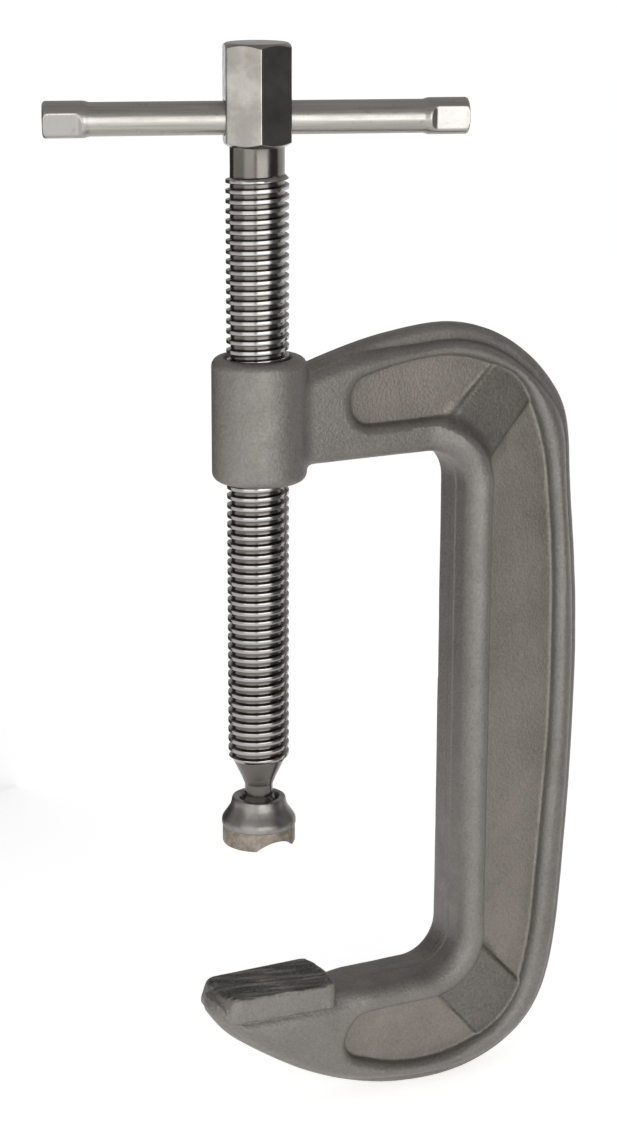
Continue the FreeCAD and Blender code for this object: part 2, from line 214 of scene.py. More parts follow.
def waves(x, y, z, size, seed):
    """Smooth pseudo-random swell between about -1 and 1, with bumps of about the given size."""
    rng = np.random.default_rng(seed)
    total = 0.0
    for _ in range(7):
        d = rng.normal(size=3)
        d *= 2 * math.pi / (size * rng.uniform(1.4, 3.2) * np.linalg.norm(d))
        total = total + np.sin(d[0] * x + d[1] * y + d[2] * z + rng.uniform(0, 2 * math.pi))
    return total / 3.0


# ---- surface nets ----
def surface_net(field, low, high, step):
    """Quad mesh of a field's zero level: one vertex in each cell it passes through, set on the surface."""
    axes = [np.arange(lo, hi + st, st) for lo, hi, st in zip(low, high, step)]
    grid = np.meshgrid(*axes, indexing="ij", sparse=True)
    values = field(*grid)
    cells = tuple(n - 1 for n in values.shape)
    total = np.zeros(cells + (3,))
    count = np.zeros(cells)
    crossings = []
    for axis in range(3):
        a = np.take(values, range(values.shape[axis] - 1), axis)
        b = np.take(values, range(1, values.shape[axis]), axis)
        cross = (a < 0) != (b < 0)
        t = np.where(cross, a / np.where(cross, a - b, 1), 0)
        crossings.append((cross, a < 0))
        others = [i for i in range(3) if i != axis]
        for p in (0, 1):
            for q in (0, 1):
                cut = [slice(None)] * 3
                cut[others[0]] = slice(p, cells[others[0]] + p)
                cut[others[1]] = slice(q, cells[others[1]] + q)
                here = cross[tuple(cut)]
                count += here
                total[..., axis] += t[tuple(cut)] * here
                total[..., others[0]] += p * here
                total[..., others[1]] += q * here
    used = count > 0
    index = np.full(cells, -1)
    index[used] = np.arange(used.sum())
    at = np.argwhere(used)
    spot = at + total[used] / count[used][:, None]
    verts = spot * np.array(step) + np.array([a[0] for a in axes])
    faces = []
    for axis, (cross, inner) in enumerate(crossings):
        u, v = [(axis + 1) % 3, (axis + 2) % 3]
        e = np.argwhere(cross)
        e = e[(e[:, u] > 0) & (e[:, v] > 0) & (e[:, u] < cells[u]) & (e[:, v] < cells[v])]
        ring = []
        for du, dv in ((0, 0), (-1, 0), (-1, -1), (0, -1)):
            c = e.copy()
            c[:, u] += du
            c[:, v] += dv
            ring.append(index[tuple(c.T)])
        quads = np.stack(ring, axis=1)
        outward = inner[tuple(e.T)]
        quads[~outward] = quads[~outward][:, ::-1]
        faces.append(quads)
    return verts, np.concatenate(faces)


def gradient(field, p, e=0.02):
    value = field(*p.T)
    slope = np.stack([field(*(p + np.eye(3)[i] * e).T) - value for i in range(3)], axis=1) / e
    return value, slope


def settle(field, p, rounds=2, reach=0.6):
    """Moves points onto a field's zero level, and returns them with the outward normals there."""
    for _ in range(rounds):
        value, slope = gradient(field, p)
        size = np.maximum((slope ** 2).sum(1), 0.05)
        p = p - slope * np.clip(value / size, -reach, reach)[:, None]
    slope = gradient(field, p, 0.05)[1]
    return p, slope / np.maximum(np.linalg.norm(slope, axis=1), 1e-6)[:, None]


def mesh_object(name, verts, faces, normals=None):
    """A smooth-shaded mesh object from points in millimetres."""
    mesh = bpy.data.meshes.new(name)
    mesh.from_pydata((np.asarray(verts) * MM).tolist(), [], [list(f) for f in faces])
    mesh.shade_smooth()
    if normals is not None:
        mesh.normals_split_custom_set_from_vertices(normals.tolist())
    obj = bpy.data.objects.new(name, mesh)
    bpy.context.scene.collection.objects.link(obj)
    return obj


# ---- frame ----
hull_line = np.concatenate([spline(OUTER_LINE), NOSE_LINE])
throat_line = rounded_polygon(THROAT_LINE)
recess_line = rounded_polygon(RECESS)


def side_distance(x, z, start, end):
    """Distance from the line through start and end, positive on its left."""
    dx, dz = end[0] - start[0], end[1] - start[1]
    length = math.hypot(dx, dz)
    return ((z - start[1]) * dx - (x - start[0]) * dz) / length


def frame_plan(x, z):
    """Distances from the outer line, the throat and the recess, in the frame's own plane."""
    hull = polygon_distance(x, z, hull_line)
    throat = polygon_distance(x, z, throat_line)
    recess = polygon_distance(x, z, recess_line)
    return hull, throat, recess


def corner_wedge(x, z, wide, corner, core, throat):
    """One thick corner: a wedge that falls from the throat to the outer rim. Returns it and its fillet."""
    (ox, oz), (ux, uz) = corner["origin"], corner["along"]
    outward = (x - ox) * ux + (z - oz) * uz
    height = WEB_HALF + WEDGE_LOW + WEDGE_RISE * np.clip((WEDGE_OUTER - outward) / WEDGE_RUN, 0, 1.1)
    sides = np.maximum(*[side_distance(x, z, *line) for line in corner["sides"]])
    sides = (sides + WEDGE_SIDE_SLOPE * (wide - WEB_HALF)) / SLOPE_STRETCH
    wedge = meet(sides, wide - height, WEDGE_ROUND)
    wedge = meet(wedge, np.maximum(core + WEDGE_RIM_GAP, WEDGE_THROAT_GAP - throat), 1.0)
    return wedge, 1.0 + 3.2 * blend(outward, 14, 8)


def frame_solid(x, y, z, plan):
    """Web, rim, thick corners and inner flange, with a slight swell in every face."""
    hull, throat, recess = plan
    wide = np.abs(y)
    # thin shoulder all round, where the two dies met
    shoulder = np.maximum(hull, SHOULDER_SET_BACK - throat)
    shoulder = meet(shoulder, wide - SHOULDER_HALF, SHOULDER_ROUND)
    # rim and thick ends of the arms, one round bead wide
    inset = 1.2 + 2.5 * blend(x, 12, 58) + 1.4 * blend(z, 165, 195) * blend(x, 20, 60)
    flanged = np.where(z > JAW_MIDDLE, blend(x, 48, 68), 1.0)
    core = np.maximum(hull + inset, 3.0 * flanged - throat)
    bead_r = BEAD_ROUND + 1.4 * blend(x, 40, 10)
    # the lower arm is thickest along its inner side, up to the block
    fat = 3.2 * blend(z, -34, -9) * blend(x, 62, 32) * (0.25 + 0.75 * blend(x, -16, 20))
    arm_half = ARM_HALF + np.where(z < JAW_MIDDLE, fat, 0.0)
    rim = meet(meet(core, wide - arm_half, bead_r), -recess, RECESS_ROUND)
    body = join(rim, np.maximum(core, wide - WEB_HALF), 1.6)
    # near the boss and the nose the fillet fills the shoulder
    body = join(body, shoulder, 1.5 + 2.2 * blend(x, 44, 18))
    for corner in CORNERS:
        body = join(body, *corner_wedge(x, z, wide, corner, core, throat))
    # the wide inner flange, which sinks into the upper arm and narrows towards the block
    half = ARM_HALF + (FLANGE_HALF - ARM_HALF) * np.where(z > JAW_MIDDLE, blend(x, 55, 72), 1.0)
    half = half - np.where(z < JAW_MIDDLE, 3.0 * blend(x, 36, 18), 0.0)
    # a trimmed die line stands a little proud along the middle of its inner face
    inner_face = -throat - DIE_LINE * blend(wide, 1.9, 1.2)
    flange = meet(meet(inner_face, wide - half, FLANGE_ROUND), throat - FLANGE_DEPTH, FLANGE_BACK_ROUND)
    flange = np.maximum(flange, FLANGE_START - x)
    from_corner = np.hypot(x - 66, np.minimum(z + 2, 168 - z))
    body = join(body, flange, 2.4 + 3.4 * blend(from_corner, 24, 14))
    body = np.maximum(body, meet(inner_face, wide - np.maximum(half, arm_half), THROAT_ROUND))
    return body + sum(height * waves(x, y, z, size, seed) for height, size, seed in SWELLS)


def anvil_solid(x, y, z, hull):
    """The block under the work, narrower towards the nose on its front side, and the round nose."""
    front = BLOCK_FRONT + BLOCK_DRAW_IN * np.maximum(BLOCK_DRAW_FROM - x, 0)
    sides = np.maximum(y - BLOCK_BACK, front - y)
    # the nose is furthest out at y = -1 and slants back to either side of it
    slant = NOSE_FRONT_SLANT * np.maximum(-y - 1, 0) + NOSE_BACK_SLANT * np.maximum(y + 1, 0)
    end = (NOSE_X - x + NOSE_LEAN * z + slant) / SLOPE_STRETCH
    nose = meet(end, hull, 2.6)
    across = y * math.cos(RIDGE_TURN) - x * math.sin(RIDGE_TURN)
    across = across + 0.35 * waves(x, y, 0 * z, 7.0, 11)
    groove = RIDGE_DEPTH * (0.5 - 0.5 * np.cos(2 * math.pi * across / RIDGE_STEP)) ** 1.3
    inner = blend(np.maximum(sides, np.maximum(end, x - BLOCK_END)), -1.4, -3.0)
    top = (z + inner * groove * (1.0 + 0.35 * waves(x, y, 0 * z, 5.0, 12))) / 1.2
    block = meet(x - BLOCK_END + 0.012 * y * y, sides, 2.2)
    block = meet(block, np.maximum(top, -ANVIL_DEPTH - z), 0.7)
    return meet(block, meet(nose, sides, 2.4), 1.6)


def frame_field(x, y, z):
    """Signed distance of the whole forging: arms and spine, block, and boss with its bore."""
    plan = frame_plan(x, z)
    body = frame_solid(x, y, z, plan)
    body = join(body, anvil_solid(x, y, z, plan[0]), 1.2)
    radius = np.hypot(x - BOSS_SHIFT, y)
    ends = np.maximum(z - BOSS_TOP, BOSS_BOTTOM - z)
    body = join(body, meet(radius - BOSS_R, ends, BOSS_ROUND), BOSS_FILLET)
    bore = np.hypot(x, y)
    mouth = np.minimum(z - BOSS_BOTTOM, BOSS_TOP - z)
    chamfer = BORE_R + BORE_CHAMFER - np.maximum(mouth, 0) - bore
    # the bore stops in the open jaw, so that the block under it stays whole
    return np.where(z > JAW_MIDDLE, np.maximum(body, np.maximum(BORE_R - bore, chamfer)), body)


def build_frame():
    verts, faces = surface_net(frame_field, (-22, -15.5, -49), (118, 15.5, 213), (1.0, 0.62, 1.0))
    verts, normals = settle(frame_field, verts)
    return mesh_object("forged_frame", verts, faces, normals)


forging = build_frame()


# ---- turned pieces ----
def ring_grid(rings, closed_start=True, closed_end=True):
    """Vertices and faces of stacked rings that all have the same number of points."""
    rings = [np.asarray(ring, float) for ring in rings]
    n = len(rings[0])
    verts = np.concatenate(rings)
    faces = []
    step = np.arange(n)
    after = (step + 1) % n
    for i in range(len(rings) - 1):
        low, high = i * n, (i + 1) * n
        faces += np.stack([low + step, low + after, high + after, high + step], axis=1).tolist()
    if closed_start:
        faces.append(step[::-1].tolist())
    if closed_end:
        faces.append((step + (len(rings) - 1) * n).tolist())
    return verts, faces


def circle(radius, height, angles):
    """One ring about +Z. The radius and the height are each one number, or one for each angle."""
    return np.stack([radius * np.cos(angles), radius * np.sin(angles), height + 0 * angles], axis=1)


def turned_rings(profile, angles):
    """Rings about +Z from (radius, height) points."""
    return [circle(r, z, angles) for r, z in profile]


def arc(centre_r, centre_z, radius, start, end, count):
    """(radius, height) points on a circle, between two angles in degrees from +R towards +Z."""
    return [(centre_r + radius * math.cos(t), centre_z + radius * math.sin(t))
            for t in np.radians(np.linspace(start, end, count))]


def tidy_mesh(obj, sharp):
    """Merges doubled points, drops what has no area, and leaves edges steeper than sharp crisp."""
    edit = bmesh.new()
    edit.from_mesh(obj.data)
    bmesh.ops.remove_doubles(edit, verts=edit.verts, dist=2e-6)
    bmesh.ops.dissolve_degenerate(edit, edges=edit.edges, dist=1e-6)
    bmesh.ops.recalc_face_normals(edit, faces=edit.faces)
    edit.to_mesh(obj.data)
    edit.free()
    obj.data.shade_smooth()
    obj.data.set_sharp_from_angle(angle=math.radians(sharp))


def drill(obj, radius, centre, along, reach):
    """Cuts a round hole in an object, reaching equally far to both sides of centre, in millimetres."""
    angles = np.linspace(0, 2 * math.pi, 96, endpoint=False)
    rings = turned_rings([(radius, -reach), (radius, reach)], angles)
    cutter = mesh_object("cutter", *ring_grid(rings))
    turn = Vector((0, 0, 1)).rotation_difference(Vector(along))
    cutter.data.transform(Matrix.Translation(Vector(centre) * MM) @ turn.to_matrix().to_4x4())
    cut = obj.modifiers.new("cut", "BOOLEAN")
    cut.operation, cut.solver, cut.object = "DIFFERENCE", "EXACT", cutter
    graph = bpy.context.evaluated_depsgraph_get()
    made = bpy.data.meshes.new_from_object(obj.evaluated_get(graph))
    obj.modifiers.clear()
    obj.data = made
    bpy.data.objects.remove(cutter)


def paint(obj, name, values):
    """Stores one number on each vertex for the materials to read."""
    layer = obj.data.attributes.new(name, "FLOAT", "POINT")
    layer.data.foreach_set("value", np.asarray(values, np.float32))


def points_mm(obj):
    """An object's vertices in millimetres."""
    flat = np.empty(len(obj.data.vertices) * 3, np.float32)
    obj.data.vertices.foreach_get("co", flat)
    return flat.reshape(-1, 3).astype(float) / MM


def hex_angles():
    """Angles round the screw: close together at the six corners, wider apart on the flats."""
    beside = [0.7, 1.4, HEX_ROUND_HALF_TURN, 5.0, 9.0, 14.0, 19.5, 24.7]
    sector = [0.0] + beside + [30.0] + [60.0 - b for b in reversed(beside)]
    return np.radians([HANDLE_TURN - 90 + 60 * i + s for i in range(6) for s in sector])


def hex_radius(angles):
    """Distance from the axis to the hex's side, with its corners rounded by HEX_ROUND."""
    flat = HEX_FLATS / 2
    corner = np.abs((np.degrees(angles) - HANDLE_TURN + 90 + 30) % 60 - 30)
    centre = (flat - HEX_ROUND) / math.cos(math.pi / 6)
    off = np.radians(corner)
    side = flat / np.cos(math.pi / 6 - off)
    inside = np.maximum(HEX_ROUND ** 2 - (centre * np.sin(off)) ** 2, 0)
    rounded = corner < HEX_ROUND_HALF_TURN + 0.01
    return np.where(rounded, centre * np.cos(off) + np.sqrt(inside), side)


def thread_rings(angles):
    """Rings that climb with the helix, so that each one stays at one height on the thread's profile."""
    first = math.floor(THREAD_BOTTOM / PITCH) - 2
    last = math.ceil(THREAD_TOP / PITCH) + 2
    climb = (np.degrees(angles) - CREST_TURN) / 360
    rings = []
    for turn in range(first, last):
        for share in PITCH_SHARES:
            z = np.clip(PITCH * (turn + share + climb), THREAD_BOTTOM, THREAD_TOP)
            from_crest = abs((share + 0.5) % 1 - 0.5)
            height = float(blend(from_crest, 0.345, 0.155))
            r = ROOT_R + (THREAD_R - ROOT_R) * height
            # the ridge rises out of the root over its own depth at either end of the thread
            r = np.minimum(r, ROOT_R + np.minimum(z - THREAD_BOTTOM, THREAD_TOP - z))
            rings.append(circle(r, z, angles))
    return rings


def thread_part(angles):
    """The threaded length, closed on itself one pitch higher after each turn."""
    rings = thread_rings(angles)
    n = len(angles)
    per_turn = len(PITCH_SHARES)
    faces = []
    for i in range(len(rings) - 1):
        for k in range(n - 1):
            a = i * n + k
            faces.append([a, a + 1, a + n + 1, a + n])
        if i >= per_turn:
            end = (i - per_turn) * n + n - 1
            faces.append([end, i * n, (i + 1) * n, end + n])
    return np.concatenate(rings), faces


def lower_end(angles):
    """Ball, neck and cone, up to the thread."""
    profile = arc(0, BALL_CENTRE, BALL_R, -89.5, 44.8, 26) + [
        (NECK_R, BALL_CENTRE + 4.6), (NECK_R, CONE_BOTTOM - 0.5), (NECK_R + 0.12, CONE_BOTTOM),
        (5.6, 71.1), (6.9, 73.8), (ROOT_R - 0.15, THREAD_BOTTOM - 0.3), (ROOT_R, THREAD_BOTTOM)]
    return mesh_object("lower", *ring_grid(turned_rings(profile, angles), True, False))


def shank(angles):
    """Plain length between the thread and the hex, with a small fillet under the hex."""
    profile = [
        (ROOT_R, THREAD_TOP), (SHANK_R, THREAD_TOP + 2), (SHANK_R, HEX_BOTTOM - 1.0),
        (SHANK_R + 0.12, HEX_BOTTOM - 0.35), (SHANK_R + 0.5, HEX_BOTTOM), (SHANK_R + 0.5, HEX_BOTTOM + 0.3)]
    return mesh_object("upper", *ring_grid(turned_rings(profile, angles), False, True))


def hex_head(angles):
    """Hex with both ends chamfered at 30 degrees, and the hole that the bar slides in."""
    side = hex_radius(angles)
    fall = np.maximum(side - HEX_FACE_R, 0) * math.tan(math.radians(30))
    face = np.minimum(HEX_FACE_R, side)
    # from the middle of the end face outwards, as (radius, distance in from the end)
    end = [(3.0, 0), (6.5, 0), (face - 0.15, 0), (face + 0.1, 0.05), (side - 0.06, fall + 0.02)]
    low, high = HEX_BOTTOM + fall + 0.14, HEX_TOP - fall - 0.14
    rings = [circle(r, HEX_BOTTOM + inward, angles) for r, inward in end]
    rings += [circle(side, low + (high - low) * share, angles) for share in np.linspace(0, 1, 19)]
    rings += [circle(r, HEX_TOP - inward, angles) for r, inward in reversed(end)]
    head = mesh_object("head", *ring_grid(rings))
    turn = math.radians(HANDLE_TURN)
    drill(head, HANDLE_HOLE_R, (0, 0, HANDLE_Z), (math.cos(turn), math.sin(turn), 0), reach=20)
    return head


def build_screw():
    """The whole screw in one object, from its ball to the top of its hex."""
    angles = hex_angles()
    thread = mesh_object("screw_bar", *thread_part(angles))
    others = [lower_end(angles), shank(angles), hex_head(angles)]
    whole = bmesh.new()
    for part in [thread] + others:
        whole.from_mesh(part.data)
    whole.to_mesh(thread.data)
    whole.free()
    for part in others:
        bpy.data.objects.remove(part)
    tidy_mesh(thread, 24)
    p = points_mm(thread)
    r = np.hypot(p[:, 0], p[:, 1])
    # how far out on the thread each point lies, which the material uses to paint shade in the roots and a
    # highlight on the crests
    paint(thread, "crest", np.clip((r - ROOT_R) / (THREAD_R - ROOT_R), 0, 1))
    paint(thread, "head", blend(p[:, 2], HEX_BOTTOM - 0.2, HEX_BOTTOM))
    return thread


def build_handle():
    """Round bar with both ends swaged flat. It is drawn along +X and then turned into the hex."""
    half = HANDLE_LENGTH / 2
    neck = half - SWAGE_LENGTH
    angles = np.linspace(0, 2 * math.pi, 120, endpoint=False)
    inner = np.linspace(0, neck - SWAGE_TAPER, 30)
    flare = np.linspace(neck - SWAGE_TAPER, neck, 7)[1:]
    end = np.linspace(neck, half - TIP_ROUND, 24)[1:]
    tip = half - TIP_ROUND + TIP_ROUND * np.sin(np.radians([15, 30, 45, 60, 75, 90]))
    xs = np.concatenate([inner, flare, end, tip])
    swell = HANDLE_R + (SWAGE_R - HANDLE_R) * blend(xs, neck - SWAGE_TAPER, neck)
    into_tip = np.maximum(xs - half + TIP_ROUND, 0)
    radii = swell - 1.5 * (TIP_ROUND - np.sqrt(np.maximum(TIP_ROUND ** 2 - into_tip ** 2, 0)))
    rings = []
    pressed = []
    for side, lean in ((-1, 18.0), (1, 4.0)):
        facing = np.maximum(np.abs(np.cos(angles - math.radians(lean))), 1e-3)
        order = range(len(xs) - 1, 0, -1) if side < 0 else range(len(xs))
        for i in order:
            swaged = xs[i] > neck - 1
            depth = FLAT_HALF + 1.6 * blend(xs[i], neck + 2.4, neck - 0.4) ** 1.5
            depth = depth + 0.1 * blend(xs[i], half - 2.2, half)
            r = radii[i] * np.ones(len(angles))
            # a flat at that depth on either side, with softly rounded edges
            flattened = -np.logaddexp(-r * FLAT_EDGE, -depth / facing * FLAT_EDGE) / FLAT_EDGE
            r = np.where(swaged, np.minimum(r, flattened), r)
            rings.append(np.roll(circle(r, side * xs[i], angles), 1, axis=1))
            pressed.append(blend(radii[i] - r, 0.05, 0.40) * swaged)
    bar = mesh_object("t_bar", *ring_grid(rings))
    paint(bar, "pressed", np.concatenate(pressed))
    place = Matrix.Translation((0, 0, HANDLE_Z * MM)) @ Matrix.Rotation(math.radians(HANDLE_TURN), 4, "Z")
    bar.data.transform(place)
    tidy_mesh(bar, 50)
    return bar


def build_pad():
    """Bell-shaped swivel pad, hollow for the ball, with its arched groove."""
    angles = np.linspace(0, 2 * math.pi, 144, endpoint=False)
    outside = [(6.0, PAD_BOTTOM), (10.6, PAD_BOTTOM), (10.95, PAD_BOTTOM + 0.05), (11.3, PAD_BOTTOM + 0.25),
               (11.45, PAD_BOTTOM + 0.6), (11.45, 51.0), (11.45, 52.8), (11.42, 54.0), (11.36, 54.5),
               (11.36, 54.75), (11.62, 55.1), (11.65, 55.5), (11.65, 56.3), (11.55, 56.9), (11.2, 57.6),
               (10.3, 58.9), (9.16, 60.6), (8.75, 61.7), (8.55, 62.6), (8.45, 63.3), (8.25, 63.7),
               (7.9, PAD_TOP), (6.8, PAD_TOP)]
    inside = [(6.45, PAD_TOP - 0.15), (6.1, 63.4), (5.76, 62.88)]
    cavity = arc(0, BALL_CENTRE, PAD_SOCKET_R, 25, -88, 22)
    pad = mesh_object("bell_pad", *ring_grid(turned_rings(outside + inside + cavity, angles)))
    turn = math.radians(GROOVE_TURN)
    centre = (0, 0, PAD_BOTTOM + GROOVE_DEPTH - GROOVE_R)
    drill(pad, GROOVE_R, centre, (math.cos(turn), math.sin(turn), 0), reach=30)
    tidy_mesh(pad, 32)
    return pad


screw = build_screw()
bar = build_handle()
pad = build_pad()
for obj, body, node, slot in (
        (forging, "clamp_frame", "frame", "forged_steel"), (screw, "screw_shaft", "screw", "machined_steel"),
        (bar, "handle", "handle_bar", "bar_steel"), (pad, "pad", "swivel_pad", "pad_steel")):
    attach(obj, body)
    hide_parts(node)


def paint_forging():
    """Marks the recess floors, the thick corners and the ridged face for the forging's material, which
    paints shade on the thick corners and in the ridged face's grooves.
    """
    x, y, z = points_mm(forging).T
    inside = polygon_distance(x, z, recess_line)
    low_down = blend(np.abs(y), WEB_HALF + 2.6, WEB_HALF + 1.0)
    paint(forging, "panel", blend(inside, 0.6, -1.0) * low_down)
    gusset_shade = np.zeros(len(x))
    for corner in CORNERS:
        sides = np.maximum(*[side_distance(x, z, *line) for line in corner["sides"]])
        (ox, oz), (ux, uz) = corner["origin"], corner["along"]
        far = (x - ox) * ux + (z - oz) * uz > 14.0
        within = np.where(far, blend(inside, 0.3, -0.9), blend(inside, 4.0, 0.0))
        gusset_shade = np.maximum(gusset_shade, blend(sides, 0.4, -0.4) * within)
    paint(forging, "gusset_shade", gusset_shade)
    on_block = blend(x, BLOCK_END - 0.4, BLOCK_END - 1.4) * (z < JAW_MIDDLE)
    paint(forging, "ridged", blend(z, -1.1, -0.4) * on_block)


paint_forging()


# ---- materials ----
class Nodes:
    """Short hands for one material's node tree."""

    def __init__(self, name, metallic, roughness):
        self.material = bpy.data.materials.new(name)
        self.material.use_nodes = True
        self.tree = self.material.node_tree
        self.shader = self.tree.nodes["Principled BSDF"]
        self.shader.inputs["Metallic"].default_value = metallic
        self.shader.inputs["Roughness"].default_value = roughness
        self.place = self.tree.nodes.new("ShaderNodeTexCoord").outputs["Object"]

    def link(self, source, target):
        self.tree.links.new(source, target)

    def mapped(self, place, setting, value):
        node = self.tree.nodes.new("ShaderNodeMapping")
        node.inputs[setting].default_value = value
        self.link(place, node.inputs["Vector"])
        return node.outputs["Vector"]

    def stretched(self, scale, turn=0.0):
        """The object's coordinates, turned about +Z and then scaled along each axis."""
        turned = self.mapped(self.place, "Rotation", (0, 0, -turn)) if turn else self.place
        return self.mapped(turned, "Scale", scale)

    def noise(self, scale, detail=3.0, rough=0.55, place=None):
        node = self.tree.nodes.new("ShaderNodeTexNoise")
        node.inputs["Scale"].default_value = scale
        node.inputs["Detail"].default_value = detail
        node.inputs["Roughness"].default_value = rough
        self.link(place or self.place, node.inputs["Vector"])
        return node.outputs["Fac"]

    def spread(self, value, low, high, to_low=0.0, to_high=1.0):
        """Takes low to to_low and high to to_high, and holds the ends."""
        node = self.tree.nodes.new("ShaderNodeMapRange")
        for name, number in (("From Min", low), ("From Max", high), ("To Min", to_low), ("To Max", to_high)):
            node.inputs[name].default_value = number
        self.link(value, node.inputs["Value"])
        return node.outputs["Result"]

    def math(self, kind, a, b):
        node = self.tree.nodes.new("ShaderNodeMath")
        node.operation = kind
        for socket, value in zip(node.inputs, (a, b)):
            if isinstance(value, (int, float)):
                socket.default_value = value
            else:
                self.link(value, socket)
        return node.outputs[0]

    def mix(self, share, a, b):
        """From colour a to colour b. A mix node has sockets of every type, so colours go by number."""
        node = self.tree.nodes.new("ShaderNodeMix")
        node.data_type = "RGBA"
        self.link(share, node.inputs["Factor"])
        for socket, value in ((node.inputs[6], a), (node.inputs[7], b)):
            if isinstance(value, tuple):
                socket.default_value = (*value, 1.0)
            else:
                self.link(value, socket)
        return node.outputs[2]

    def attribute(self, name):
        node = self.tree.nodes.new("ShaderNodeAttribute")
        node.attribute_name = name
        return node.outputs["Fac"]

    def bump(self, height, strength, depth):
        """Adds a relief depth millimetres high on top of those already there."""
        node = self.tree.nodes.new("ShaderNodeBump")
        node.inputs["Strength"].default_value = strength
        node.inputs["Distance"].default_value = depth * MM
        self.link(height, node.inputs["Height"])
        previous = self.shader.inputs["Normal"].links
        if previous:
            self.link(previous[0].from_socket, node.inputs["Normal"])
        self.link(node.outputs["Normal"], self.shader.inputs["Normal"])

    def finish(self, colour, roughness):
        self.link(colour, self.shader.inputs["Base Color"])
        self.link(roughness, self.shader.inputs["Roughness"])
        return self.material


def forged_material():
    n = Nodes("forged", 0.75, 0.5)
    panel = n.attribute("panel")
    patch = n.spread(n.noise(45, 4, 0.6), 0.35, 0.65)
    grain = n.spread(n.noise(1150, 3, 0.65), 0.32, 0.68)
    face = n.mix(patch, (0.163, 0.153, 0.140), (0.195, 0.183, 0.167))
    floor_colour = n.mix(patch, (0.186, 0.165, 0.142), (0.232, 0.207, 0.180))
    colour = n.mix(panel, face, floor_colour)
    # painted shade: the thick corners are painted much darker than the faces around them
    colour = n.mix(n.math("MULTIPLY", n.attribute("gusset_shade"), 0.8), colour, (0.106, 0.094, 0.083))
    ridged = n.attribute("ridged")
    cuts = n.spread(n.noise(1.0, 2, 0.5, n.stretched((45, 400, 45), RIDGE_TURN)), 0.42, 0.60)
    # painted shade: the low parts of the bumped ridges on the block's face are painted almost black
    ridges_with_groove_shade = n.mix(cuts, (0.045, 0.043, 0.038), (0.190, 0.180, 0.165))
    colour = n.mix(ridged, colour, ridges_with_groove_shade)
    speck = n.spread(n.noise(900, 5, 0.7), 0.56, 0.72)
    colour = n.mix(n.math("MULTIPLY", speck, 0.45), colour, (0.10, 0.085, 0.068))
    colour = n.mix(n.math("MULTIPLY", grain, 0.30), colour, (0.34, 0.325, 0.30))
    n.bump(n.noise(420, 4, 0.6), 0.40, 0.22)
    n.bump(grain, 0.75, 0.10)
    n.bump(n.math("MULTIPLY", cuts, ridged), 0.9, 0.45)
    return n.finish(colour, n.spread(n.noise(160, 3, 0.6), 0.3, 0.7, 0.44, 0.58))


def machined_material():
    n = Nodes("machined", 1.0, 0.3)
    crest, head = n.attribute("crest"), n.attribute("head")
    # painted shade and highlight: the thread's roots are painted dark and its crests light
    colour = n.mix(crest, (0.130, 0.120, 0.110), (0.35, 0.34, 0.33))
    raw = n.mix(n.spread(n.noise(110, 4, 0.6), 0.38, 0.62), (0.205, 0.193, 0.176), (0.285, 0.270, 0.248))
    tan = n.spread(n.noise(210, 3, 0.6), 0.60, 0.74)
    raw = n.mix(n.math("MULTIPLY", tan, 0.5), raw, (0.27, 0.205, 0.140))
    colour = n.mix(head, colour, raw)
    stain = n.spread(n.noise(300, 4, 0.65), 0.55, 0.75)
    colour = n.mix(n.math("MULTIPLY", stain, 0.10), colour, (0.13, 0.11, 0.09))
    turned_lines = n.noise(1.0, 2, 0.5, n.stretched((120, 120, 3200)))
    n.bump(turned_lines, 0.12, 0.03)
    n.bump(n.noise(700, 4, 0.6), 0.18, 0.05)
    return n.finish(colour, n.spread(n.noise(240, 4, 0.6), 0.3, 0.7, 0.15, 0.25))


def bar_material():
    n = Nodes("drawn_bar", 1.0, 0.3)
    pressed = n.attribute("pressed")
    drawn = n.noise(1.0, 3, 0.6, n.stretched((30, 1600, 1600), math.radians(HANDLE_TURN)))
    colour = n.mix(n.spread(drawn, 0.35, 0.65), (0.30, 0.285, 0.262), (0.385, 0.370, 0.345))
    colour = n.mix(pressed, colour, (0.37, 0.36, 0.345))
    spot = n.spread(n.noise(380, 4, 0.65), 0.60, 0.76)
    colour = n.mix(n.math("MULTIPLY", spot, 0.5), colour, (0.16, 0.14, 0.12))
    n.bump(drawn, 0.10, 0.03)
    n.bump(n.noise(900, 3, 0.6), 0.10, 0.03)
    rough = n.spread(n.noise(200, 4, 0.6), 0.3, 0.7, 0.26, 0.38)
    return n.finish(colour, rough)


def pad_material():
    n = Nodes("turned_pad", 1.0, 0.35)
    split = n.tree.nodes.new("ShaderNodeSeparateXYZ")
    n.link(n.place, split.inputs["Vector"])
    rim = n.spread(split.outputs["Z"], (PAD_BOTTOM + 6.2) * MM, (PAD_BOTTOM + 5.6) * MM)
    grey = n.mix(n.spread(n.noise(180, 4, 0.6), 0.35, 0.65), (0.20, 0.19, 0.178), (0.28, 0.268, 0.252))
    brown = n.mix(n.spread(n.noise(420, 4, 0.65), 0.35, 0.65), (0.17, 0.14, 0.11), (0.30, 0.26, 0.22))
    colour = n.mix(rim, grey, brown)
    rings = n.noise(1.0, 2, 0.5, n.stretched((90, 90, 2600)))
    n.bump(rings, 0.16, 0.04)
    n.bump(n.noise(800, 4, 0.65), 0.25, 0.07)
    return n.finish(colour, n.spread(n.noise(260, 3, 0.6), 0.3, 0.7, 0.32, 0.46))


forging.data.materials.append(forged_material())
screw.data.materials.clear()
screw.data.materials.append(machined_material())
bar.data.materials.append(bar_material())
pad.data.materials.clear()
pad.data.materials.append(pad_material())


# ---- camera, fitted to the thread's crests in the picture ----
CAMERA_PLACE, CAMERA_LENS = (-0.34442, -0.71247, 0.35942), 85.43
CAMERA_LOOK = {"azimuth": 26.92, "pitch": 15.5, "roll": 0.155}


